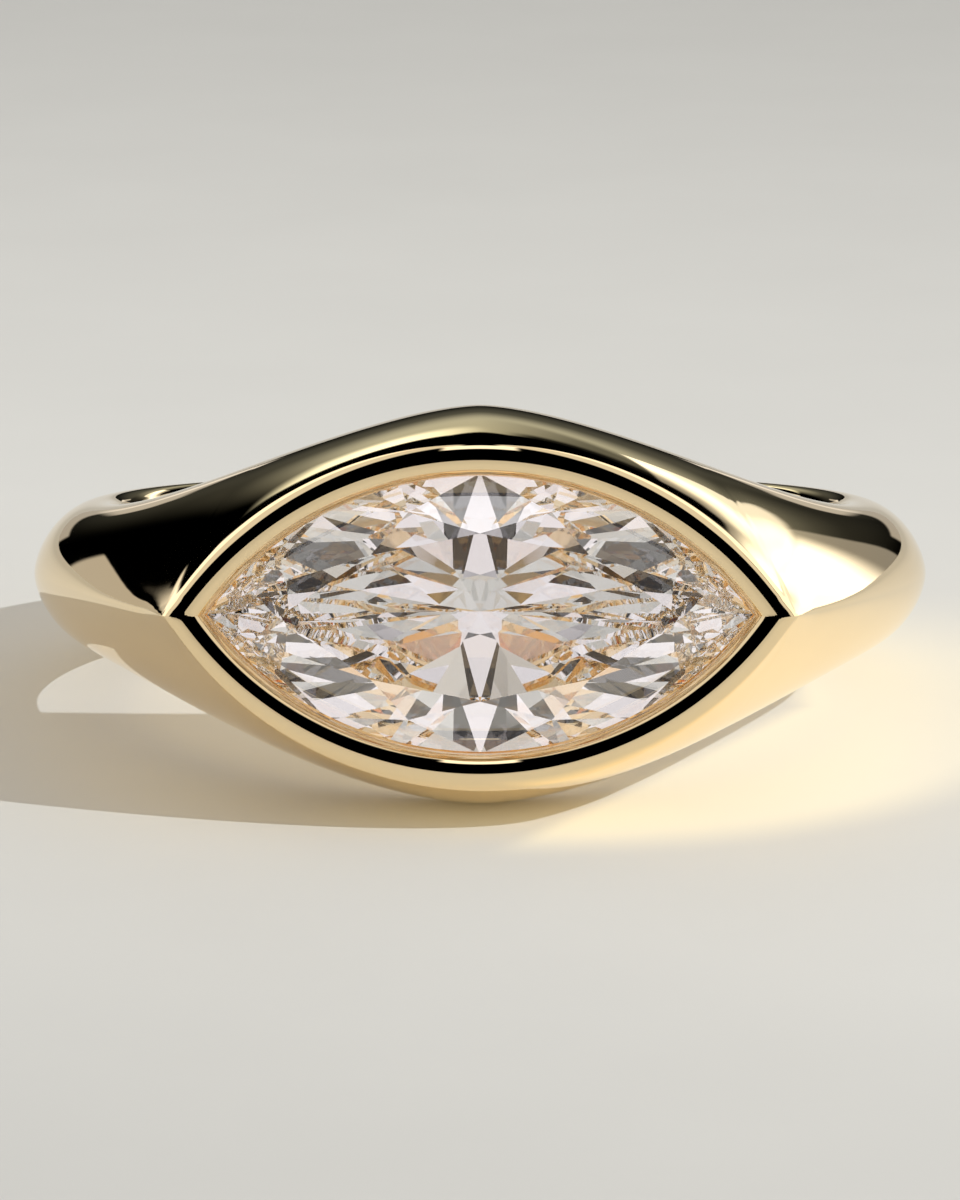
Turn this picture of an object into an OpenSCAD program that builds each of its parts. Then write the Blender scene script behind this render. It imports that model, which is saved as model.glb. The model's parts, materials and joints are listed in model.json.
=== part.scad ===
// Solitaire engagement ring. A marquise brilliant lies across the finger in a full
// bezel, and the bezel, the shoulders and the band are one gold casting.
// Millimetres. The ring is drawn about its finger axis with the stone towards -Y,
// and then laid on its side on z = 0, as a loose ring comes to rest.

/* [Finger hole and band] */
// Radius of the finger hole
hole_r = 8.25; // [7.8:0.05:8.6]
// Thickness of the band, from the finger to the ridge
band_t = 2.1; // [1.8:0.05:2.4]
// Width of the band along the finger
band_w = 3.34; // [3:0.02:3.8]
// How full the band's outside is, 1 being a ridge and 2 a half round
band_full = 1.6; // [1.3:0.05:2]
// Wall between the finger and the widest line of the band's side
side_t = 0.45; // [0.35:0.05:0.6]

/* [Head] */
// Distance from the finger axis to the flat top of the rim
rim_y = 12; // [11.9:0.02:12.2]
// Width of the head along the finger
head_w = 8.7; // [8.6:0.02:9.2]
// Angle round the finger at which the head has narrowed to the band
flare_end = 98; // [90:1:110]
// How early the head narrows
flare_power = 4; // [3:0.1:4.5]
// How soft the peak at the middle of each cheek is, 2 being round
peak_power = 1.68; // [1.5:0.02:2]
// Angle round the finger at which the shoulder has sunk to the band
shoulder_end = 80; // [74:1:88]
// How early the shoulder's ridge falls away from the tip of the rim
shoulder_power = 2.5; // [2:0.1:3]

/* [Bezel] */
// Distance from the stone's edge to the outer edge of the rim
rim_w = 0.7; // [0.64:0.02:0.8]
// Width of the slope between the rim's flat top and the stone
slope_w = 0.26; // [0.2:0.02:0.36]
// Depth of that slope, below which the wall beside the stone is upright
slope_h = 0.34; // [0.26:0.02:0.44]
// Bevel on the outer edge of the rim
rim_bevel = 0.15; // [0.05:0.01:0.2]
// Width of the ledge that carries the stone
ledge_w = 0.4; // [0.3:0.05:0.5]
// Clearance all round the stone
stone_gap = 0.03; // [0.02:0.01:0.06]

/* [Stone] */
// Length of the stone, tip to tip
stone_l = 11.7; // [11.4:0.05:12]
// Width of the stone
stone_w = 5.94; // [5.8:0.02:6.1]
// Distance from the finger axis to the middle of the girdle
girdle_y = 11.25; // [11.2:0.01:11.3]
// Thickness of the girdle
girdle_t = 0.18; // [0.12:0.01:0.24]
// Height of the crown above the girdle
crown_h = 0.83; // [0.7:0.01:0.9]
// Depth of the pavilion below the girdle
pavilion_h = 2.6; // [2.4:0.01:2.65]
// Distance from the stone's edge in to the table
table_in = 1.17; // [1.05:0.01:1.3]
// Height of the star facets' outer points, as a share of the crown
star_share = 0.65; // [0.55:0.01:0.75]
// Reach of the lower halves towards the culet, as a share of the pavilion
half_share = 0.76; // [0.65:0.01:0.85]
// Reach of the two keels' outer stretch from the tips, as a share of the pavilion
keel_share = 0.5; // [0.42:0.01:0.6]
// Reach of the lower halves beside the keels, as a share of the pavilion
tip_share = 0.25; // [0.2:0.01:0.3]

/* [Hidden] */
$fn = 96;
GOLD = [0.93, 0.76, 0.48];
DIAMOND = [0.88, 0.9, 0.93, 0.6];

// The stone's outline is two equal arcs, each about a centre beyond the other side.
lens_r = (stone_l * stone_l + stone_w * stone_w) / (4 * stone_w);
lens_c = lens_r - stone_w / 2;

// Half the length, and half the width at x, of that outline moved out by d.
function lens_tip(d) = sqrt(pow(lens_r + d, 2) - lens_c * lens_c);
function lens_half(d, x) = sqrt(pow(lens_r + d, 2) - x * x) - lens_c;

// How far the cuts that shape the rim start above it, and by how little others
// overlap.
above = 1;
hair = 0.002;

// The casting is a row of sections, each at an angle round the finger that is 0 at
// the stone and 180 at the back of the band.
band_r = hole_r + band_t;
side_r = hole_r + side_t;
tip_a = atan(lens_tip(rim_w) / rim_y);
tip_r = rim_y / cos(tip_a);
land = 0.03;

// Distance from the finger axis of the rim's top and, past its tip, of the ridge.
function ridge_r(a) = a < tip_a ? rim_y / cos(a)
    : a > shoulder_end ? band_r
    : band_r + (tip_r - band_r)
        * pow((shoulder_end - a) / (shoulder_end - tip_a), shoulder_power);

// Half the width of the rim's top, which runs on along the ridge as a thin land.
function top_half(a) = a < tip_a - 0.01
    ? max(land, lens_half(rim_w, rim_y * tan(a)))
    : land;

// Half the width of the casting along the finger.
function half_w(a) = band_w / 2 + (a > flare_end ? 0
    : (head_w - band_w) / 2 * pow(1 - pow(a / flare_end, peak_power), flare_power));

// A cheek's fullness runs from 1 at the rim's tip to the band's own.
function ease(u) = u < 0 ? 0 : u > 1 ? 1 : u * u * (3 - 2 * u);
function fullness(a) = 1 + (band_full - 1) * ease((a - tip_a) / (shoulder_end - tip_a));

// The upper half of a section as [radius, height] pairs: over the cheek, round the
// edge beside the finger, and a little way into the hole, where the bore trims it.
cheek_steps = 9;
edge_steps = 2;
edge_a = 50;
trim = 0.4;
function cheek(a) = let (r = ridge_r(a), t = top_half(a), w = half_w(a),
        power = 2 / fullness(a))
    [for (i = [0 : cheek_steps]) let (f = 90 * (1 - i / cheek_steps))
        [side_r + (r - side_r) * sin(f), t + (w - t) * pow(cos(f), power)]];
function edge(a) = let (w = half_w(a))
    [for (i = [1 : edge_steps]) let (f = edge_a * i / edge_steps)
        [side_r - side_t * sin(f), w - side_t * (1 - cos(f))]];
function inside(a) = let (end = edge(a)[edge_steps - 1])
    [[hole_r - trim, end[1] - (end[0] - hole_r + trim) * tan(edge_a)]];
function upper(a) = concat(cheek(a), edge(a), inside(a));
function lower(s) = [for (i = [len(s) - 1 : -1 : 0]) [s[i][0], -s[i][1]]];
function section(a) = let (s = upper(abs(a))) concat(s, lower(s));

// A section's point in space, at its angle round the finger.
function around(a, p) = [p[0] * sin(a), -p[0] * cos(a), p[1]];

head_steps = 12;
shoulder_steps = 16;
back_steps = 15;
half_turn = concat(
    [for (i = [0 : head_steps - 1]) tip_a * i / head_steps],
    [for (i = [0 : shoulder_steps - 1]) tip_a + (90 - tip_a) * i / shoulder_steps],
    [for (i = [0 : back_steps]) 90 + 90 * i / back_steps]);
angles = concat(half_turn, [for (i = [len(half_turn) - 2 : -1 : 1]) -half_turn[i]]);
sections = [for (a = angles) section(a)];

// The ring lies with the wide head and the back of the band both on the surface. Its
// tilt is halved in on until the lowest points of those two sections are level.
function low(a, tilt) = min([for (p = section(a)) let (q = around(a, p))
    q[2] * cos(tilt) - q[1] * sin(tilt)]);
function back(a, tilt) = max([for (p = section(a)) let (q = around(a, p))
    q[1] * cos(tilt) + q[2] * sin(tilt)]);
function settle(least, most, halvings) = let (tilt = (least + most) / 2)
    halvings == 0 ? tilt
    : low(0, tilt) < low(180, tilt) ? settle(tilt, most, halvings - 1)
    : settle(least, tilt, halvings - 1);
rest_tilt = settle(0, 30, 24);
lift = -low(0, rest_tilt);
rim_half = stone_w / 2 + rim_w - rim_bevel;
front_y = -rim_y * cos(rest_tilt) - rim_half * sin(rest_tilt);
middle_y = (front_y + back(180, rest_tilt)) / 2;

// The stone's facets meet at points on a grid of 16 lines, numbered round from the
// tip at -X by way of the upper side. Even lines carry the mains, and odd ones the
// shared corners of the halves. Below, a keel takes the place of each tip's main.
lines = 16;
arc_lines = lines / 2;
crown_y = girdle_t / 2 + crown_h;
culet_y = -girdle_t / 2 - pavilion_h;
function reach(share) = -girdle_t / 2 - share * pavilion_h;
line_step = 2 * acos(lens_c / lens_r) / arc_lines;
girdle_out = lens_r / cos(line_step / 2) - lens_r + hair;

function wrap(k) = (k + lines) % lines;
function is_tip(k) = wrap(k) % arc_lines == 0;
function side(k) = wrap(k) < arc_lines ? 1 : -1;

// Angle of line k on its arc, and the outline moved out by d there, as [x, z].
function line_a(k, d) = acos(lens_c / (lens_r + d)) * (2 * (wrap(k) % arc_lines) / arc_lines - 1);
function arc_point(k, d) = side(k) * [(lens_r + d) * sin(line_a(k, d)),
    is_tip(k) ? 0 : (lens_r + d) * cos(line_a(k, d)) - lens_c];
function girdle(k, h) = let (p = arc_point(k, girdle_out)) [p[0], p[1], h];
function on_table(k) = let (p = arc_point(k, -table_in)) [p[0], p[1], crown_y];

// A plane as its normal and its reach along it, through p along two directions.
function plane(p, u, v) = let (n = cross(u, v)) [n[0], n[1], n[2], n * p];

// A main runs from the girdle to an inner point, level along the outline.
function level(k) = is_tip(k) ? [0, side(k), 0]
    : side(k) * [cos(line_a(k, 0)), -sin(line_a(k, 0)), 0];
function main(k, inner, h) = plane(girdle(k, h), level(k), inner - girdle(k, h));
function crown_main(k) = main(k, on_table(k), girdle_t / 2);
function pavilion_main(k) = main(k, [0, 0, culet_y], -girdle_t / 2);

// The point at height h on the edge where two planes meet.
function meet(m, n, h) = let (p = m[3] - m[2] * h, q = n[3] - n[2] * h,
        det = m[0] * n[1] - m[1] * n[0])
    [(p * n[1] - q * m[1]) / det, (m[0] * q - n[0] * p) / det, h];

function star(k) = meet(crown_main(k - 1), crown_main(k + 1), girdle_t / 2 + star_share * crown_h);
function keel(tip) = meet(pavilion_main(tip + 2), [0, 1, 0, 0], reach(keel_share));
function tip_half(k, tip) = let (h = -girdle_t / 2, g = girdle(tip, h))
    plane(g, girdle(k, h) - g, keel(tip) - g);
function low_corner(k) = is_tip(k - 1)
    ? meet(tip_half(k, k - 1), pavilion_main(k + 1), reach(tip_share))
    : is_tip(k + 1) ? meet(tip_half(k, k + 1), pavilion_main(k - 1), reach(tip_share))
    : meet(pavilion_main(k - 1), pavilion_main(k + 1), reach(half_share));

// The corners in one list, and the place in it of each kind of corner on line k.
evens = [0 : 2 : lines - 2];
odds = [1 : 2 : lines - 1];
corners = concat([for (k = evens) on_table(k)], [for (k = odds) star(k)],
    [for (k = [0 : lines - 1]) girdle(k, girdle_t / 2)],
    [for (k = [0 : lines - 1]) girdle(k, -girdle_t / 2)],
    [for (k = odds) low_corner(k)], [keel(0), keel(arc_lines), [0, 0, culet_y]]);
function at_table(k) = wrap(k) / 2;
function at_star(k) = arc_lines + (wrap(k) - 1) / 2;
function at_top(k) = lines + wrap(k);
function at_bottom(k) = 2 * lines + wrap(k);
function at_low(k) = 3 * lines + (wrap(k) - 1) / 2;
function at_keel(k) = is_tip(k) ? [3 * lines + arc_lines + wrap(k) / arc_lines] : [];
at_culet = len(corners) - 1;

ring_body();
marquise_stone();

module ring_body() {
    color(GOLD) lay_down() difference() {
        intersection() {
            cast_skin();
            lens_cone(rim_w - rim_bevel - above, -rim_y - above, 2 * rim_y, 1);
        }
        cylinder(h = 2 * rim_y, r = hole_r, center = true);
        seat();
    }
}

module marquise_stone() {
    color(DIAMOND) lay_down() intersection() {
        facets();
        lens_cone(0, -girdle_y - crown_y - above, crown_y - culet_y + 2 * above, 0);
    }
}

// From the ring's own axes to the way it lies.
module lay_down() {
    translate([0, -middle_y, lift]) rotate([-rest_tilt, 0, 0]) children();
}

// A solid of the stone's outline moved out by d, from y back over a length, whose
// wall spreads outwards by the given slope.
module lens_cone(d, y, length, slope) {
    intersection_for (side = [-1, 1]) translate([0, y, side * lens_c]) rotate([-90, 0, 0])
        cylinder(h = length, r1 = lens_r + d, r2 = lens_r + d + slope * length);
}

// The stone's opening: the slope down from the rim, the wall round the girdle, the
// ledge under it and the hole that opens into the finger hole.
module seat() {
    wall_y = slope_h - rim_y;
    ledge_y = girdle_t / 2 + girdle_out + stone_gap - girdle_y;
    ledge_h = ledge_w + stone_gap + hair;
    slope = (slope_w - stone_gap) / slope_h;
    lens_cone(slope_w + slope * above, -rim_y - above, slope_h + above, -slope);
    lens_cone(stone_gap, wall_y - hair, ledge_y - wall_y + 2 * hair, 0);
    lens_cone(stone_gap, ledge_y, ledge_h, -1);
    lens_cone(-ledge_w, ledge_y, girdle_y / 2, 0);
}

// The outer form of the casting, with a core left for the finger hole.
module cast_skin() {
    ring = len(sections[0]);
    turns = len(angles);
    points = [for (i = [0 : turns - 1]) for (p = sections[i]) around(angles[i], p)];
    polyhedron(points, [for (i = [0 : turns - 1]) for (j = [0 : ring - 1])
        let (i2 = (i + 1) % turns, j2 = (j + 1) % ring,
            a = i * ring + j, b = i * ring + j2, c = i2 * ring + j2, d = i2 * ring + j)
        for (face = [[a, b, c], [a, c, d]]) face]);
}

// The stone's flat facets, met a little outside its outline, which then trims them.
module facets() {
    table = [[for (k = evens) at_table(k)]];
    crown = [for (k = odds) for (face = [
        [at_table(k + 1), at_table(k - 1), at_star(k)],
        [at_table(k + 1), at_star(k), at_top(k + 1), at_star(k + 2)],
        [at_star(k), at_top(k), at_top(k + 1)],
        [at_star(k), at_top(k - 1), at_top(k)]]) face];
    band = [for (k = [0 : lines - 1]) [at_top(k), at_bottom(k), at_bottom(k + 1), at_top(k + 1)]];
    halves = [for (k = odds) for (face = [
        concat(at_low(k), at_keel(k + 1), at_bottom(k + 1), at_bottom(k)),
        concat(at_low(k), at_bottom(k), at_bottom(k - 1), at_keel(k - 1))]) face];
    mains = [for (k = evens) if (!is_tip(k)) concat(at_culet, at_keel(k + 2), at_low(k + 1),
        at_bottom(k), at_low(k - 1), at_keel(k - 2))];
    polyhedron([for (p = corners) [p[0], -girdle_y - p[2], p[1]]],
        concat(table, crown, band, halves, mains));
}
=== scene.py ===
# %% [markdown]
# # A marquise solitaire ring
#
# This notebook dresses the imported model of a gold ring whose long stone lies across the
# finger in a full bezel. The CAD parts give the sizes and the place of everything. Here
# the gold gets the smooth skin that a polished casting has, both materials get their
# finish, and a small studio with windows of light is painted round the ring, because
# polished metal looks like whatever stands round it.

# %% Load the frame
import json
import math

import bpy
from mathutils import Euler, Matrix, Vector, kdtree


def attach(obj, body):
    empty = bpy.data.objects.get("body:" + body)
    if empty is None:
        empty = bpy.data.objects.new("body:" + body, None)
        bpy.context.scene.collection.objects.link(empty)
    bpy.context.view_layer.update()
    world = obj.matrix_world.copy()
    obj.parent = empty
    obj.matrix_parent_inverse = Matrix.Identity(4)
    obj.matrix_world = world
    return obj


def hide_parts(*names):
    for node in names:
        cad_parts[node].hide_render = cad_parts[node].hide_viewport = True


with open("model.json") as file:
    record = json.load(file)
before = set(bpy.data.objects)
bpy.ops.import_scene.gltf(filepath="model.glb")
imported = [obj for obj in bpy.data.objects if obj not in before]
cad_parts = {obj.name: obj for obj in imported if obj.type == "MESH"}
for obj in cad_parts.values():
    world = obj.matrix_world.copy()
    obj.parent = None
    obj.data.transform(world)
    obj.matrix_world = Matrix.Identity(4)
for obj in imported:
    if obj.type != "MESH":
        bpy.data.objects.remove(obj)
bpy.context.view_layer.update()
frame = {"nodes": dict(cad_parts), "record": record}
MM = 0.001

# %% [markdown]
# The casting is worked out about its finger axis, as a goldsmith draws it: the finger
# axis upright and the stone towards the front, which is -Y. The finished ring lies on its
# side, leaning a little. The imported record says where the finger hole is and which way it
# points, so one matrix takes every piece and the camera from the drawing to its place.

# %% From the drawing to the place on the table
hole = frame["record"]["mounts"][0]
lean = math.atan2(hole["axis"][1], hole["axis"][2])
LAY = Matrix.Translation(hole["pos_m"]) @ Matrix.Rotation(-lean, 4, "X") @ Matrix.Scale(MM, 4)
print("the finger axis leans", round(math.degrees(lean), 2), "degrees")

# %% [markdown]
# These are the driving sizes in millimetres and degrees. They repeat the part's own. Only
# the last line is new: the real rim has no bevel and no slope but a round lip, whose crest
# lies so far from the stone's edge at its middle and a little farther at its tips. The
# polishing wheel has rounded the ridge on each shoulder, over the first few degrees past
# the rim's tip, and the cheek under each tip is blended.

# %% Driving sizes
HOLE_R, BAND_T, BAND_W, BAND_FULL, SIDE_T = 8.25, 2.1, 3.34, 1.6, 0.45
RIM_Y, HEAD_W, FLARE_END, FLARE_POWER, PEAK_POWER = 12, 8.7, 98, 4, 1.68
SHOULDER_END, SHOULDER_POWER = 80, 2.5
RIM_W, LEDGE_W, STONE_GAP = 0.7, 0.4, 0.03
STONE_L, STONE_W, GIRDLE_Y, GIRDLE_T = 11.7, 5.94, 11.25, 0.18
CREST, CREST_TIP, RIDGE_SOFT, RIDGE_START, CHEEK_BLEND = 0.395, 0.055, 0.12, 6, 5

LENS_R = (STONE_L ** 2 + STONE_W ** 2) / (4 * STONE_W)
LENS_C = LENS_R - STONE_W / 2
BAND_R, SIDE_R = HOLE_R + BAND_T, HOLE_R + SIDE_T


def lens_tip(d):
    """Half the length of the stone's outline moved out by d."""
    return math.sqrt((LENS_R + d) ** 2 - LENS_C ** 2)


def lens_half(d, x):
    """Half the width of that outline at x."""
    return math.sqrt((LENS_R + d) ** 2 - x * x) - LENS_C


TIP_A = math.degrees(math.atan(lens_tip(RIM_W) / RIM_Y))
TIP_R = RIM_Y / math.cos(math.radians(TIP_A))
print("the rim's tips are at", round(TIP_A, 2), "degrees round the finger")

# %% [markdown]
# A section through the casting is taken at an angle round the finger that is 0 at the
# stone and 180 at the back of the band. Each formula gives one measure of it: how far out
# the ridge is, how wide the rim's top is, how wide the casting is along the finger, and how
# full its cheek is. A formula instead of a hand-placed cage keeps the reflections calm,
# because polished metal shows the smallest wobble of a mesh.


# %% The measures of a section
def ease(u):
    """Runs smoothly from 0 to 1 as u does."""
    u = min(max(u, 0), 1)
    return u * u * (3 - 2 * u)


def ridge_r(a):
    """Distance from the finger axis of the rim's top and, past its tip, of the ridge."""
    if a < TIP_A:
        return RIM_Y / math.cos(math.radians(a))
    if a > SHOULDER_END:
        return BAND_R
    fall = (SHOULDER_END - a) / (SHOULDER_END - TIP_A)
    return BAND_R + (TIP_R - BAND_R) * fall ** SHOULDER_POWER


def top_half(a):
    """Half the width of the rim's top."""
    if a >= TIP_A:
        return 0
    return max(0, lens_half(RIM_W, RIM_Y * math.tan(math.radians(a))))


def half_w(a):
    """Half the width of the casting along the finger."""
    flare = 0 if a > FLARE_END else (1 - (a / FLARE_END) ** PEAK_POWER) ** FLARE_POWER
    return BAND_W / 2 + (HEAD_W - BAND_W) / 2 * flare


def past_tip(a, reach):
    """Runs smoothly from 0 at the rim's tip to 1 at an angle that lies reach beyond it."""
    return ease((a - TIP_A) / reach)


def sharp_cheek_r(a, z):
    """Distance from the finger axis of the cheek at height z, with its ridge softened."""
    top, wide = top_half(a), half_w(a)
    soft = RIDGE_SOFT * past_tip(a, RIDGE_START)
    z = min(math.hypot(z, soft * (1 - z / wide)), wide)
    share = max(0, (z - top) / (wide - top))
    full = 1 + (BAND_FULL - 1) * past_tip(a, SHOULDER_END - TIP_A)
    return SIDE_R + (ridge_r(a) - SIDE_R) * math.sqrt(max(0, 1 - share ** full))


def cheek_r(a, z):
    """The same with the crease under the rim's tip blended, but not the ridge itself."""
    share = min(max(0, (z - top_half(a)) / (half_w(a) - top_half(a))), 1)
    near = 1 - ease(abs(a - TIP_A) / (4 * CHEEK_BLEND))
    reach = CHEEK_BLEND * 4 * share * (1 - share) * near
    if reach < 0.01:
        return sharp_cheek_r(a, z)
    spread = [i / 4 for i in range(-4, 5)]
    weights = [1.1 + math.cos(math.pi * s) for s in spread]
    radii = [sharp_cheek_r(abs(a + reach * s), z) for s in spread]
    return sum(w * r for w, r in zip(weights, radii)) / sum(weights)


def around(a, r, z):
    """A section's point in the drawing's space."""
    a = math.radians(a)
    return Vector((r * math.sin(a), -r * math.cos(a), z))


print("the head is", round(2 * half_w(0), 2), "mm wide and the band", round(2 * half_w(180), 2))

# %% [markdown]
# The rim's lip is a rounded edge that follows the stone's outline. Each of its lines is
# that same outline, moved out by some distance and lying at some depth, so the lip needs
# only a profile: pairs of distance and depth. The profile has to end on the cheek, so the
# cheek under a given point of the plan is looked up first, by halving in on its angle.

# %% The cheek under a point of the plan
HALVINGS = 40


def plan(u, side, d):
    """The point of the outline moved out by d that lies at u, from -1 to 1 tip to tip."""
    turn = u * math.acos(LENS_C / (LENS_R + d))
    z = 0 if abs(u) == 1 else (LENS_R + d) * math.cos(turn) - LENS_C
    return (LENS_R + d) * math.sin(turn), side * z


def cheek_angle(x, z):
    """The angle round the finger at which the cheek passes over the plan's point x, z."""
    low, high = 0, 89
    for _ in range(HALVINGS):
        a = (low + high) / 2
        if cheek_r(a, abs(z)) * math.sin(math.radians(a)) < abs(x):
            low = a
        else:
            high = a
    return a


def cheek_depth(u, d):
    """The cheek's y below the outline's point u, moved out by d."""
    x, z = plan(u, 1, d)
    a = cheek_angle(x, z)
    return -cheek_r(a, abs(z)) * math.cos(math.radians(a))


print("at the middle the cheek starts", round(-cheek_depth(0, RIM_W), 2), "mm out")

# %% [markdown]
# The lip has to leave the cheek in the cheek's own direction and arrive level at the crest.
# A round curve between two such directions is a conic, and its weight makes it nearly an
# arc of a circle. Where it starts depends on the slope there, so it is found in a few
# rounds, each from the slope that the last one met.


# %% Where the lip meets the cheek
def conic(p, q, r, weight, steps):
    """Points of a round curve from p to r that leaves and arrives along the lines to q."""
    rows = []
    for i in range(steps + 1):
        t = i / steps
        b = [(1 - t) ** 2, 2 * t * (1 - t) * weight, t * t]
        rows.append((b[0] * p + b[1] * q + b[2] * r) / sum(b))
    return rows


LIP_ROUNDS, FIRST_REACH, SLOPE_STEP = 8, 0.1, 0.02


def lip_profile(u, steps):
    """Rows of [distance, depth] from the cheek up over the outer lip to the rim's crest."""
    reach, crest = FIRST_REACH, CREST + CREST_TIP * u * u
    for _ in range(LIP_ROUNDS):
        end = Vector((RIM_W + reach, cheek_depth(u, RIM_W + reach)))
        fall = (cheek_depth(u, end.x + SLOPE_STEP) - end.y) / SLOPE_STEP
        slope = math.atan(1 / fall)
        corner = Vector((end.x - (end.y + RIM_Y) / fall, -RIM_Y))
        reach = corner.x + (corner.x - crest) * math.sin(slope) - RIM_W
    weight = math.cos((math.pi / 2 - slope) / 2)
    return conic(end, corner, Vector((crest, -RIM_Y)), weight, steps)


print("outer lip at the middle", [tuple(round(v, 3) for v in p) for p in lip_profile(0, 4)])

# %% [markdown]
# Inside its crest the lip turns down in a quarter round to the upright wall beside the
# stone's edge, and below that comes the ledge that carries the stone. The ledge stops just
# inside the opening that is cut there later, so that the cut leaves no sliver.

# %% The whole profile of the rim
LIP_STEPS, CUT_LAP = 10, 0.02
wall_top = -GIRDLE_Y - GIRDLE_T / 2
wall_foot = wall_top + GIRDLE_T + 2 * STONE_GAP
below_lip = [
    Vector((STONE_GAP, wall_top)), Vector((STONE_GAP, wall_foot)),
    Vector((CUT_LAP - LEDGE_W, wall_foot + LEDGE_W + STONE_GAP - CUT_LAP)),
]


def rim_profile(u):
    """Rows of [distance, depth] from the cheek over the lip and down to the seat's hole."""
    outer = lip_profile(u, LIP_STEPS)
    corner = Vector((STONE_GAP, -RIM_Y))
    foot = corner + Vector((0, outer[-1].x - STONE_GAP))
    return outer + conic(outer[-1], corner, foot, math.sqrt(0.5), LIP_STEPS)[1:] + below_lip


print("the rim has", len(rim_profile(0)), "rows")


# %% [markdown]
# ## Modelling helpers
#
# Blender's operators act on whatever is selected, and the loaded CAD nodes are selected.
# So everything is deselected before a primitive is added. A mesh is shaped in edit mode
# and its vertices are then put in place from object mode, where their list can be read.


# %% Helpers
def select_only(piece):
    """Leaves one object selected and active."""
    bpy.ops.object.select_all(action="DESELECT")
    piece.select_set(True)
    bpy.context.view_layer.objects.active = piece


def edit(piece, *steps):
    """Runs edit-mode operators on the piece, each given as a function."""
    select_only(piece)
    bpy.ops.object.mode_set(mode="EDIT")
    for step in steps:
        step()
    bpy.ops.object.mode_set(mode="OBJECT")


def everything():
    """Selects the whole mesh."""
    bpy.ops.mesh.select_all(action="SELECT")


def size_of(piece):
    """A short line on the piece's mesh, for printing."""
    mesh = piece.data
    mesh.calc_loop_triangles()
    return f"{piece.name}: {len(mesh.vertices)} vertices, {len(mesh.loop_triangles)} triangles"


for name in ("ring_body", "marquise_stone"):
    print(size_of(frame["nodes"][name]))

# %% [markdown]
# ## The casting
#
# On the real ring the head, the shoulders and the band are cast in one piece. It could be
# sculpted, or built from a few bridged loops under a subdivision surface, but both leave
# the reflections a little uneven. A flat grid is wrapped round the finger here instead: its
# columns become the sections, and its rows run over the cheek, round the edge, along the
# inside of the hole and back up the other side. The columns over the head start at the lip,
# where they leave the long opening for the stone.

# %% The columns and rows of the wrapped grid
HEAD_STEPS, SHOULDER_STEPS, BACK_STEPS = 120, 70, 50
CHEEK_ROWS, EDGE_ROWS, HOLE_ROWS = 26, 8, 14
stations = [2 * i / HEAD_STEPS - 1 for i in range(HEAD_STEPS + 1)]
lips = [rim_profile(u) for u in stations]
mitre = lips[-1][0]
MITRE_A = cheek_angle(plan(1, 1, mitre.x)[0], 0)


def head_column(u, lip):
    """Angle round the finger and height at which a column of the head starts."""
    x, z = plan(u, 1, lip[0].x)
    return math.copysign(cheek_angle(x, z), u), z


past_head = [MITRE_A + (90 - MITRE_A) * i / SHOULDER_STEPS for i in range(1, SHOULDER_STEPS)]
behind = [90 + 180 * i / (2 * BACK_STEPS) for i in range(2 * BACK_STEPS + 1)]
columns = [head_column(u, lip) for u, lip in zip(stations, lips)]
columns += [(a, 0) for a in past_head + behind + [360 - a for a in reversed(past_head)]]
columns.append(columns[0])


def column(a, start):
    """The points of one section, from the cheek's top round to the cheek below."""
    angle = min(abs(a), 360 - abs(a))
    wide, top = half_w(angle), top_half(angle)
    full = 1 + (BAND_FULL - 1) * past_tip(angle, SHOULDER_END - TIP_A)
    share = max(0, (start - top) / (wide - top))
    first = math.acos(share ** (full / 2))
    upper = []
    for i in range(CHEEK_ROWS):
        z = top + (wide - top) * math.cos(first * (1 - i / CHEEK_ROWS)) ** (2 / full)
        upper.append((cheek_r(angle, z), z))
    for i in range(EDGE_ROWS + 1):
        f = math.pi / 2 * i / EDGE_ROWS
        upper.append((SIDE_R - SIDE_T * math.sin(f), wide - SIDE_T * (1 - math.cos(f))))
    wall_z = upper[-1][1]
    wall = [(HOLE_R, wall_z * (1 - 2 * i / HOLE_ROWS)) for i in range(1, HOLE_ROWS)]
    lower = [(r, -z) for r, z in reversed(upper)]
    return [around(a, r, z) for r, z in upper + wall + lower]


grid_points = [column(a, start) for a, start in columns]
print(len(grid_points), "columns of", len(grid_points[0]), "points")

# %% [markdown]
# A grid primitive is as fine as it is asked to be. Where a vertex lies on the flat grid
# says which column and row it belongs to, and so where it goes on the ring. The first and
# the last column then lie on each other, and merging the doubles closes the ring.

# %% Wrap the grid
MERGE = 0.0005
last_column, last_row = len(columns) - 1, len(grid_points[0]) - 1
bpy.ops.object.select_all(action="DESELECT")
bpy.ops.mesh.primitive_grid_add(x_subdivisions=last_column, y_subdivisions=last_row, size=2)
gold = bpy.context.object
gold.name = gold.data.name = "cast_ring"
for v in gold.data.vertices:
    i = round((v.co.x + 1) / 2 * last_column)
    j = round((v.co.y + 1) / 2 * last_row)
    v.co = grid_points[i][j]
edit(gold, everything, lambda: bpy.ops.mesh.remove_doubles(threshold=MERGE))
print(size_of(gold))

# %% [markdown]
# The grid now has one open edge, the long loop round the stone. It is extruded again and
# again, and each new loop is moved to the next line of the lip's profile. A lookup by
# place tells which point of the last loop each new vertex came from.


# %% Extrude the rim inwards
def loop_places(row):
    """Where the loop's points lie for a row of the rim, upper side and then lower."""
    places = []
    for side in (1, -1):
        for u, lip in zip(stations, lips):
            x, z = plan(u, side, lip[row].x)
            places.append(Vector((x, lip[row].y, z)))
    return places


def carry_loop(piece, old, new):
    """Extrudes the selected loop and moves its points from their old places to the new."""
    tree = kdtree.KDTree(len(old))
    for i, p in enumerate(old):
        tree.insert(p, i)
    tree.balance()
    edit(piece, lambda: bpy.ops.mesh.extrude_edges_move())
    for v in piece.data.vertices:
        if v.select:
            v.co = new[tree.find(v.co)[1]]


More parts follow.
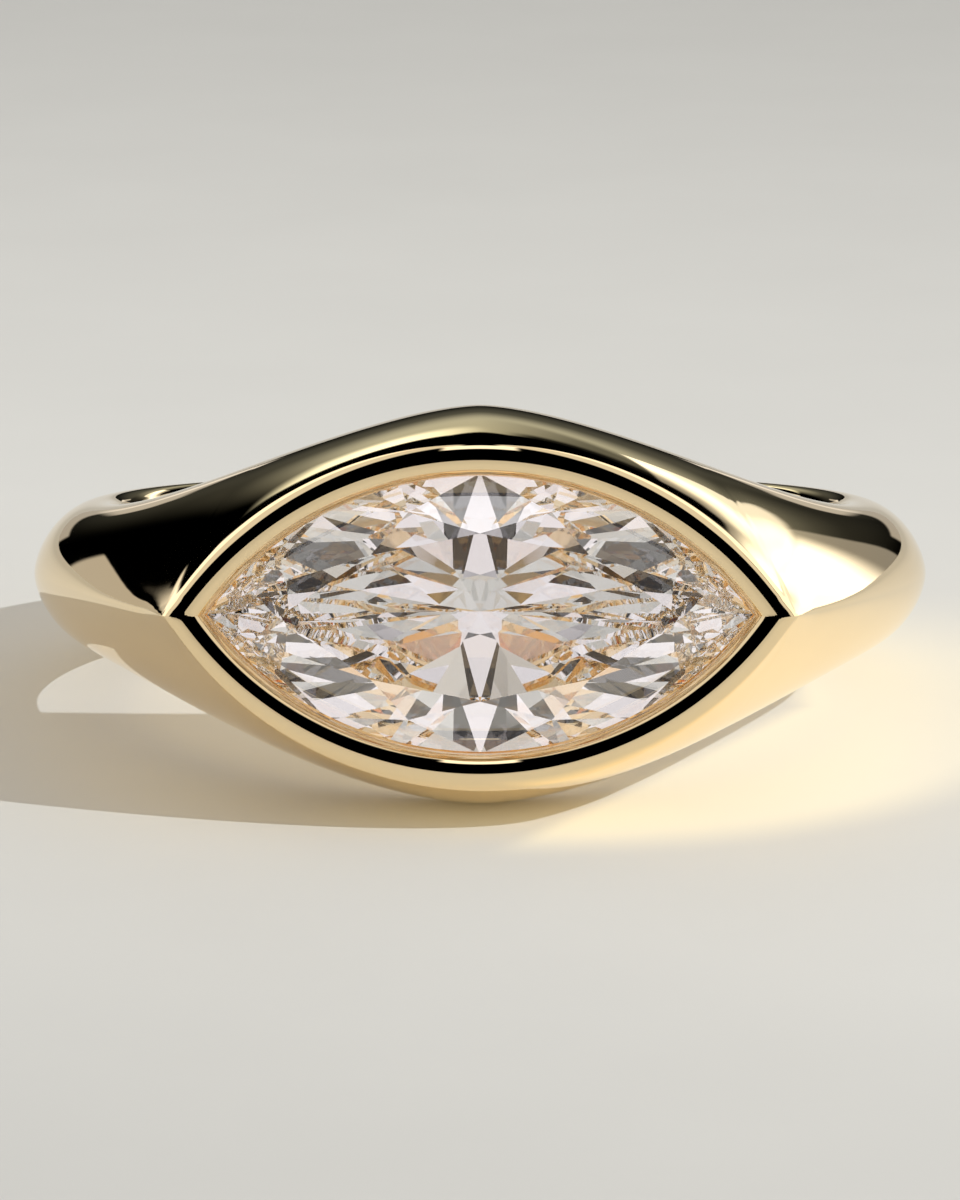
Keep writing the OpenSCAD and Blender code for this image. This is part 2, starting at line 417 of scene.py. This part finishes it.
def select_open_edge():
    """Selects the loop of edges that bound only one face."""
    bpy.ops.mesh.select_mode(type="EDGE")
    bpy.ops.mesh.select_all(action="DESELECT")
    bpy.ops.mesh.select_non_manifold(extend=False, use_wire=False, use_multi_face=False,
                                     use_non_contiguous=False, use_verts=False)


edit(gold, select_open_edge)
loops = [loop_places(row) for row in range(len(lips[0]))]
for old, new in zip(loops, loops[1:]):
    carry_loop(gold, old, new)
edit(gold, lambda: bpy.ops.mesh.edge_face_add())
print(size_of(gold))

# %% [markdown]
# Under the stone the casting is open to the finger hole, so that light gets in from
# behind and the stone can be cleaned. The opening is cut with a Boolean, by a plug in the
# shape of the stone's outline. Cutting it is simpler than weaving it into the grid, and it
# hardly shows.

# %% Open the seat to the finger hole
PLUG_SIDES, PLUG_DEPTH = 96, GIRDLE_Y - 1
bpy.ops.object.select_all(action="DESELECT")
bpy.ops.mesh.primitive_circle_add(vertices=PLUG_SIDES, radius=1, fill_type="NGON")
plug = bpy.context.object
for i, v in enumerate(plug.data.vertices):
    u = 1 - 4 * (i % (PLUG_SIDES // 2)) / PLUG_SIDES
    side = 1 if i < PLUG_SIDES // 2 else -1
    x, z = plan(side * u, side, -LEDGE_W)
    v.co = (x, -GIRDLE_Y, z)
edit(plug, everything, lambda: bpy.ops.mesh.extrude_region_move(
    TRANSFORM_OT_translate={"value": (0, PLUG_DEPTH, 0)}), everything,
    lambda: bpy.ops.mesh.normals_make_consistent(inside=False))
edit(gold, everything, lambda: bpy.ops.mesh.normals_make_consistent(inside=False))
cut = gold.modifiers.new("seat_hole", "BOOLEAN")
cut.operation, cut.solver, cut.object = "DIFFERENCE", "EXACT", plug
bpy.ops.object.modifier_apply(modifier=cut.name)
bpy.data.objects.remove(plug)
print(size_of(gold))

# %% [markdown]
# The finished casting is laid down on its side, and its place is applied, so that the
# object itself stays at the origin, unturned and unscaled. Smooth shading with a limit
# keeps the few true creases: the mitres at the rim's tips and the edges of the ledge.

# %% Lay the casting down and shade it
CREASE = math.radians(32)
gold.matrix_world = LAY
select_only(gold)
bpy.ops.object.transform_apply(location=True, rotation=True, scale=True)
bpy.ops.object.shade_smooth_by_angle(angle=CREASE)
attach(gold, "root")
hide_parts("ring_body")
print("cast ring", [round(v / MM, 2) for v in gold.dimensions], "mm")

# %% [markdown]
# ## Materials
#
# Shader maths reads best as ordinary expressions. This small class wraps a node's output,
# so that adding or multiplying two of them adds the Math node that does it. Every other
# node comes from its method `add`, which the short methods at its end only abbreviate.


# %% Shader maths
class Signal:
    """A value that flows through a material."""

    def __init__(self, tree, socket):
        self.tree, self.socket = tree, socket

    def add(self, kind, settings=None, output=0, **inputs):
        """Adds a node of a kind with its settings and inputs, and gives one output."""
        node = self.tree.nodes.new(kind)
        for name, value in (settings or {}).items():
            setattr(node, name, value)
        for name, value in inputs.items():
            socket = node.inputs[int(name[1:]) if name[1:].isdigit() else name.replace("_", " ")]
            if isinstance(value, Signal):
                self.tree.links.new(value.socket, socket)
            else:
                socket.default_value = value
        return Signal(self.tree, node.outputs[output])

    def maths(self, operation, *values):
        """Adds a Math node for the operation on one or two values."""
        return self.add("ShaderNodeMath", {"operation": operation},
                        **{f"i{i}": value for i, value in enumerate(values)})

    def __add__(self, other):
        return self.maths("ADD", self, other)

    def __sub__(self, other):
        return self.maths("SUBTRACT", self, other)

    def __rsub__(self, other):
        return self.maths("SUBTRACT", other, self)

    def __mul__(self, other):
        return self.maths("MULTIPLY", self, other)

    __radd__, __rmul__ = __add__, __mul__

    def root(self):
        return self.maths("SQRT", self)

    def at_least(self, low):
        return self.maths("MAXIMUM", self, low)

    def at_most(self, high):
        return self.maths("MINIMUM", self, high)

    def mix(self, first, second):
        """A colour between two, by this value from 0 to 1."""
        return self.add("ShaderNodeMix", {"data_type": "RGBA"}, output=2, i0=self,
                        i6=first, i7=second)

    def times(self, colour):
        """A colour or another vector, as strong as this value."""
        return self.add("ShaderNodeVectorMath", {"operation": "SCALE"}, i0=colour, Scale=self)


print("a Signal turns +, - and * into Math nodes")

# %% [markdown]
# A material starts as one Principled shader, with the place on the piece in millimetres
# beside it, so that every pattern on it has a real size. Masks come from smooth ramps: a
# hard edge would show as a jagged line, and light in a studio has none.


# %% Materials and masks
def new_material(name):
    """A material with its shader, and the place on the piece in millimetres as a Signal."""
    material = bpy.data.materials.new(name)
    material.use_nodes = True
    tree = material.node_tree
    shader = tree.nodes["Principled BSDF"]
    start = Signal(tree, None)
    place = start.add("ShaderNodeTexCoord", output="Object")
    place = place.add("ShaderNodeVectorMath", {"operation": "SCALE"}, i0=place, Scale=1 / MM)
    return material, shader, place


def feed(shader, **signals):
    """Links signals to the shader's inputs by name."""
    tree = shader.id_data
    for name, signal in signals.items():
        tree.links.new(signal.socket, shader.inputs[name.replace("_", " ")])


def rise(signal, start, end):
    """Runs smoothly from 0 to 1 as the signal goes from start to end."""
    return signal.add("ShaderNodeMapRange", {"interpolation_type": "SMOOTHSTEP"}, Value=signal,
                      From_Min=start, From_Max=end)


def sink(signal, start, end):
    """Runs smoothly from 1 to 0."""
    return 1 - rise(signal, start, end)


def between(signal, low, high, soft):
    """A mask that is 1 from low to high, with edges so soft on either side."""
    return rise(signal, low - soft, low + soft) * sink(signal, high - soft, high + soft)


print("values can be added, multiplied, mixed and turned into smooth masks")

# %% [markdown]
# Polished gold is nearly a mirror. What keeps it from looking like a rendering is very
# slight: the wheel leaves a faint haze that comes and goes, and the alloy's colour wanders
# by a hair. Both come from slow noise. There is no bump, because on so clean a mirror even
# a tiny one would show.

# %% Polished gold
gold_material, gold_shader, place = new_material("polished_gold")
cloud = place.add("ShaderNodeTexNoise", Vector=place, Scale=0.35, Detail=2.0)
haze = place.add("ShaderNodeTexNoise", Vector=place, Scale=2.2, Detail=4.0)
DEEP_GOLD, LIGHT_GOLD = (0.93, 0.73, 0.44, 1), (0.96, 0.78, 0.49, 1)
POLISH, HAZE = 0.014, 0.02
colour = cloud.mix(DEEP_GOLD, LIGHT_GOLD)
feed(gold_shader, Base_Color=colour, Roughness=haze * HAZE + POLISH)
gold_shader.inputs["Metallic"].default_value = 1
gold.data.materials.clear()
gold.data.materials.append(gold_material)
print("gold on", gold.name)

# %% [markdown]
# A cut diamond bends light more than any glass, so its IOR does most of the work: light
# that enters through the table is thrown back by the pavilion and leaves in small bright
# or dark patches. The shader passes all light on, and only a trace of colour varies.

# %% Cut stone
stone = frame["nodes"]["marquise_stone"]
stone_material, stone_shader, place = new_material("cut_diamond")
tint = place.add("ShaderNodeTexNoise", Vector=place, Scale=0.5, Detail=2.0)
WARM, COOL, DIAMOND_IOR = (1, 0.985, 0.965, 1), (0.985, 0.985, 1, 1), 2.417
feed(stone_shader, Base_Color=tint.mix(WARM, COOL))
stone_shader.inputs["Transmission Weight"].default_value = 1
stone_shader.inputs["IOR"].default_value = DIAMOND_IOR
stone_shader.inputs["Roughness"].default_value = 0
for i in range(len(stone.material_slots)):
    stone.material_slots[i].material = stone_material
print("diamond on", stone.name, "with", len(stone.material_slots), "slots")

# %% [markdown]
# ## The studio
#
# The floor is a plain pale plaster sheet with a faint mottle. It is one big plane, because
# all that shows of it is its colour and what falls on it.

# %% Floor
FLOOR_SIZE, FLOOR_ROUGH, FLOOR_GLOSS = 3, 0.6, 0.2
bpy.ops.object.select_all(action="DESELECT")
bpy.ops.mesh.primitive_plane_add(size=FLOOR_SIZE, location=(0, 0, 0))
floor = bpy.context.object
floor.name = "floor"
floor_material, floor_shader, place = new_material("pale_plaster")
mottle = place.add("ShaderNodeTexNoise", Vector=place, Scale=0.12, Detail=6.0)
GREY_PLASTER, PALE_PLASTER = (0.68, 0.675, 0.665, 1), (0.72, 0.715, 0.705, 1)
plaster = mottle.mix(GREY_PLASTER, PALE_PLASTER)
floor_x, floor_y = (place.add("ShaderNodeSeparateXYZ", output=axis, Vector=place) for axis in "XY")
floor_shader.inputs["Roughness"].default_value = FLOOR_ROUGH
floor_shader.inputs["Specular IOR Level"].default_value = FLOOR_GLOSS
floor.data.materials.append(floor_material)
print("a floor", FLOOR_SIZE, "m across")

# %% [markdown]
# Light on a real table is never quite even. Here it is a little weaker towards the left and
# the front, and clearly so far behind the ring. Lamps near the floor could do that, but the
# metal would mirror them, so the plaster itself is made darker there. Each row of a table
# says from which y to which y, in millimetres, and how much darker.

# %% The light's fall across the floor
BRIGHT_X, SIDE_FALL = 12, 0.0034
BACK_FALLS = [(10, 140, 0.25), (5, 35, 0.045)]
FRONT_FALLS = [(-30, -14, 0.03), (-40, -18, 0.07)]
fall = (BRIGHT_X - floor_x) * SIDE_FALL * sink(floor_y, -5, 25)
for start, end, share in BACK_FALLS:
    fall += rise(floor_y, start, end) * share
for start, end, share in FRONT_FALLS:
    fall += sink(floor_y, start, end) * share
feed(floor_shader, Base_Color=fall.mix(plaster, (0, 0, 0, 1)))
print("the floor gets darker in", len(BACK_FALLS) + len(FRONT_FALLS), "steps")

# %% [markdown]
# Curved gold throws golden light onto the table in front of itself and to its right, and a
# little of it fills the shadow at its foot. A render could trace that light, but it takes
# very many samples to come out clean. So the plaster glows faintly where the light falls:
# to the right of a slanted line from the ring's foot, and no farther than a circle round
# the ring.

# %% Golden light on the floor
GLOW_COLOUR, GLOW, FOOT_GLOW = (1, 0.81, 0.38), 0.24, 0.11
EDGE_X, EDGE_Y, EDGE_SLANT = 1.65, -9.7, (0.87, 0.5)
FOOT_X, FOOT_Y, FOOT_FLAT = 0.3, -9.6, 5
RING_X, RING_Y = 1, 0.3


def from_point(x, y, flat=1):
    """Distance on the floor from a point, counted more along y where flat is over 1."""
    off_x, off_y = floor_x - x, floor_y - y
    return (off_x * off_x + off_y * off_y * flat).root()


past_edge = (floor_x - EDGE_X) * EDGE_SLANT[0] - (floor_y.at_most(0) - EDGE_Y) * EDGE_SLANT[1]
too_far = rise(from_point(RING_X, RING_Y), 10.8, 13.2) * sink(floor_y, -6, -1)
glow = rise(past_edge, -0.2, 0.6) * (1 - too_far)
glow = glow * sink(floor_x, 8, 17) * sink(floor_y, 3, 12) * GLOW
glow += sink(from_point(FOOT_X, FOOT_Y, FOOT_FLAT), 0.5, 5.5) * FOOT_GLOW
feed(floor_shader, Emission_Color=glow.times(GLOW_COLOUR))
floor_shader.inputs["Emission Strength"].default_value = 1
print("golden light from x", EDGE_X, "mm rightwards, at most", GLOW + FOOT_GLOW, "strong")

# %% [markdown]
# The camera is close and long, a little above the ring, as for a catalogue. Its place is
# given in the drawing's axes, straight in front of the stone, and its lens follows from how
# many pixels a body one unit wide and one unit away would fill.

# %% Camera
CAMERA_BACK, CAMERA_UP, CAMERA_PITCH = 145, 12.02, 5.01
FOCAL_PIXELS, FRAME_H, SENSOR = 6257, 1200, 36
camera = bpy.data.objects.new("camera", bpy.data.cameras.new("camera"))
bpy.context.scene.collection.objects.link(camera)
camera.data.sensor_width = SENSOR
camera.data.lens = FOCAL_PIXELS / FRAME_H * SENSOR
camera.location = LAY @ Vector((0, -CAMERA_BACK, CAMERA_UP))
camera.rotation_euler = Euler((math.pi / 2 - lean - math.radians(CAMERA_PITCH), 0, 0))
camera.data.clip_start, camera.data.clip_end = 0.01, 10
bpy.context.scene.camera = camera
print("camera at", [round(v / MM, 1) for v in camera.location], "mm")

# %% [markdown]
# ## The room
#
# Polished metal shows the room more than itself, so the room is designed like a piece. It
# could be built from cards and lamps, but a card near a mirror shows its true size and
# needs a long hunt for its place. A painted sky is simpler: each light is a window in it,
# given by the direction in which the metal sees it. Azimuth is 0 straight behind the ring,
# 90 to its right and 180 behind the camera. Lights overhead are given on a flat ceiling
# instead, by how far right and how far back they are in units of its height.

# %% Directions in the room
DEGREES, LOWEST = 180 / math.pi, 0.01
world = bpy.data.worlds.new("studio")
bpy.context.scene.world = world
world.use_nodes = True
sky = Signal(world.node_tree, None)
toward = sky.add("ShaderNodeTexCoord", output="Generated")
across, depth, height = (
    sky.add("ShaderNodeSeparateXYZ", output=axis, Vector=toward) for axis in "XYZ")
azimuth = sky.maths("ARCTAN2", across, depth) * DEGREES
elevation = sky.maths("ARCSINE", height) * DEGREES
aside = sky.maths("ABSOLUTE", azimuth)
right = sky.maths("DIVIDE", across, height.at_least(LOWEST))
back = sky.maths("DIVIDE", depth, height.at_least(LOWEST))
sideways = sky.maths("ABSOLUTE", right)
print("the sky is read by azimuth and elevation, and overhead by a ceiling")

# %% [markdown]
# Behind the ring stands a backdrop that is black near the floor, glows more and more with
# height, and ends in an arch. It is dimmed to the right, and flares up along the arch's
# left side. The cheeks mirror it, and it gives them their dark foot and their olive and
# cream shine.

# %% The backdrop behind
ARCH_FLAT, ARCH_FALL = 4.5, 0.46
arch = elevation + (aside - ARCH_FLAT).at_least(0) * ARCH_FALL
under_arch = sink(arch, 30.9, 31.8)
low_shine = rise(elevation, -2, 13) * 0.085
high_shine = rise(elevation, 10.5, 21.5) * 0.45
right_dim = 1 - rise(azimuth, -2, 14) * rise(elevation, 18, 22) * 0.75
corner_dim = 1 - rise(azimuth, 3, 8) * rise(arch, 28, 30.5) * 0.95
foot_dim = 1 - rise(azimuth, 13, 18) * sink(elevation, 8, 13) * 0.6
shine = (low_shine + high_shine) * rise(azimuth, -27, -9) * right_dim * corner_dim * foot_dim
tilt = elevation - azimuth.at_least(-17) * 0.375
flare = rise(tilt, 26, 30) * sink(azimuth, -12, 3) * 1.2
backdrop = (shine + flare) * under_arch * sink(aside, 34, 38)
print("a backdrop with an arch")

# %% [markdown]
# To the right of the backdrop stands a hot card that reaches up to the arch. Its near edge
# slants and its far side fades into a grey wall. It makes the big highlight on the right
# shoulder. Beside it a tall soft box runs on to the right.

# %% The card and the box on the right
GREY_WALL, CARD, CORE, CORNER, TALL = 0.28, 0.6, 1.05, 0.4, 2.1
slant = azimuth + elevation * 2
high = rise(azimuth + elevation * 1.4, 40.8, 41.8) * rise(elevation, 12.9, 13.7)
wall = high.at_least(rise(azimuth, 28, 28.8)) * GREY_WALL
corner = rise(elevation, 17.3, 18.3) * sink(azimuth, 18.5, 20.5) * CORNER
top_dim = 1 - rise(elevation, 19.5, 22.5) * 0.7
hot = high * (rise(slant, 54, 59.5) * CORE + corner + CARD) * top_dim
tall = rise(azimuth + elevation * elevation * 0.018, 32, 36) * sink(elevation, 12.5, 14) * TALL
card = (wall + (hot + tall) * sink(slant, 56, 70)) * under_arch
card = card * sink(elevation - azimuth * 0.5, 12, 13) * sink(azimuth, 37.2, 38)
low_box = between(azimuth, 37.6, 80, 0.4) * between(elevation, -8, 12, 2) * 2.05
high_box = rise(azimuth, 31, 38) * sink(azimuth, 79, 81) * between(elevation, 13, 40, 2) * 1.5
box = low_box + high_box
print("a card and a soft box on the right")

# %% [markdown]
# Low down on both sides the metal mirrors the lit floor far off. It shows as one broad
# strip on the left, and on either side of the backdrop as a slanted strip and a low one.

# %% The floor far off
step = elevation - (aside - 6.5) * 0.75
left_strip = between(azimuth, -80, -31.6, 0.4) * between(elevation, -8, 6.8, 0.2) * 0.5
slanted_strip = between(aside, 8, 16, 0.5) * between(step, -1.9, 0.35, 0.4)
slanted_strip = slanted_strip * sink(elevation, 6, 7) * 0.5
low_strip = between(aside, 8.5, 23, 0.7) * between(elevation, -8, 2.5, 0.4) * 0.42
far_floor = left_strip + slanted_strip + low_strip
print("three strips of far floor")

# %% [markdown]
# Overhead hang two wide panels with a gap between them and a small white one in front. The
# lip of the rim shrinks them to the fine bright line that runs all round it. Everything
# else overhead stays black, and that gives the lip its two black lines.

# %% Lights overhead
front = rise(back + sideways.at_most(0.85) * 0.65, -0.08, 0.02)
inner_edge = rise(sideways, 0.04, 0.07)
side_edge = rise(aside + rise(elevation, 15.5, 18.5) * 4, 36.5, 39.5)
behind_box = between(azimuth, 30, 84, 2) * sink(elevation, 38, 42)
level = rise(back - sideways * 0.2, 0.12, 0.3) * 0.65 + 0.8
panels = side_edge * inner_edge * front * rise(elevation, 9, 11) * level * (1 - behind_box)
small = between(right, -0.11, 0.11, 0.015) * between(back, -0.45, -0.06, 0.02)
small = small * rise(elevation, 30, 35) * 1.4
print("two panels and a small one overhead")

# %% [markdown]
# Each light has its own faint tint, and all of them are added into the one sky that the
# gold mirrors. Outside them that sky is black.

# %% What the gold sees
LIGHTS = [
    (backdrop, (0.97, 1, 0.86)), (card, (1, 0.98, 0.93)), (box, (1, 0.97, 0.9)),
    (far_floor, (1, 0.95, 0.88)), (panels, (1, 0.97, 0.92)), (small, (1, 1, 1)),
]
light = LIGHTS[0][0].times(LIGHTS[0][1])
for mask, colour in LIGHTS[1:]:
    light = sky.add("ShaderNodeVectorMath", {"operation": "ADD"}, i0=light, i1=mask.times(colour))
print(len(LIGHTS), "lights in the sky")

# %% [markdown]
# The stone needs a room of its own. What it throws back comes from all over the front half
# of the sky, and in a room that is mostly black a diamond looks black. So light that has
# gone through the stone meets a broad pale sky. It has two dark areas, one on either side
# of the camera, and a small one behind it, and these give the stone its dark facets. Light
# that falls on the floor comes from a plain even sky, and light that the gold throws on the
# floor from a brighter one. The Light Path node tells these apart, as a lamp's ray
# visibility settings would.

# %% What the stone and the floor see
STONE_SKY, FLOOR_SKY = (0.93, 0.88, 0.9), (0.67, 0.635, 0.575, 1)
GOLD_SKY = (2.4, 2.3, 1.9, 1)
DARKEST, CLOUDS = 0.95, 0.5
shade = between(aside, 148, 174, 1) * between(elevation, -5, 36, 1)
shade += between(aside, 173, 200, 1) * between(elevation, 9.5, 20.5, 1)
cloud = toward.add("ShaderNodeTexNoise", Vector=toward, Scale=2.5, Detail=1.0)
brightness = (1 - shade.at_most(1) * DARKEST) * (cloud * CLOUDS + 0.8) * rise(elevation, -60, 0)


def seen_by(ray, usual, special):
    """Picks the second of two skies for one kind of ray."""
    is_ray = sky.add("ShaderNodeLightPath", output=ray)
    return sky.maths("GREATER_THAN", is_ray, 0.5).mix(usual, special)


light = seen_by("Diffuse Depth", light, GOLD_SKY)
light = seen_by("Transmission Depth", light, brightness.times(STONE_SKY))
light = seen_by("Is Diffuse Ray", light, FLOOR_SKY)
world.node_tree.links.new(light.socket, world.node_tree.nodes["Background"].inputs["Color"])
print("a sky for the gold, one for the stone and two for the floor")

# %% [markdown]
# Sun from the right and the front draws the ring's long shadow. A sun lamp has no place,
# only a direction, and its angle sets how crisp the shadow is. It lights the floor alone:
# the metal would only mirror it as a hot dot. Azimuth and elevation are the sky's.

# %% The sun
SUN_AZ, SUN_EL, SUN_SIZE = math.radians(120), math.radians(35), math.radians(0.8)
sun_way = Vector((math.sin(SUN_AZ) * math.cos(SUN_EL), math.cos(SUN_AZ) * math.cos(SUN_EL),
                  math.sin(SUN_EL)))
sun_light = bpy.data.lights.new("sun", "SUN")
sun_light.energy, sun_light.angle, sun_light.color = 2.35, SUN_SIZE, (0.93, 0.98, 1)
sun = bpy.data.objects.new("sun", sun_light)
bpy.context.scene.collection.objects.link(sun)
sun.location = sun_way / 2
sun.rotation_euler = (-sun_way).to_track_quat("-Z", "Y").to_euler()
sun.visible_glossy = sun.visible_transmission = False
print("sun towards", [round(v, 2) for v in sun_way])

# %% [markdown]
# Light bounces many times inside a cut stone before it gets out, most of all in its two
# tips, where the facets meet at a sharp angle. With the usual limits such paths are given
# up and the tips turn black, so all the limits are raised together.

# %% How far light is followed
BOUNCES = 40
scene = bpy.context.scene
scene.view_settings.view_transform = "Standard"
scene.cycles.use_denoising = True
scene.cycles.max_bounces = BOUNCES
scene.cycles.transmission_bounces = BOUNCES
scene.cycles.glossy_bounces = BOUNCES
print("light is followed for", BOUNCES, "bounces")
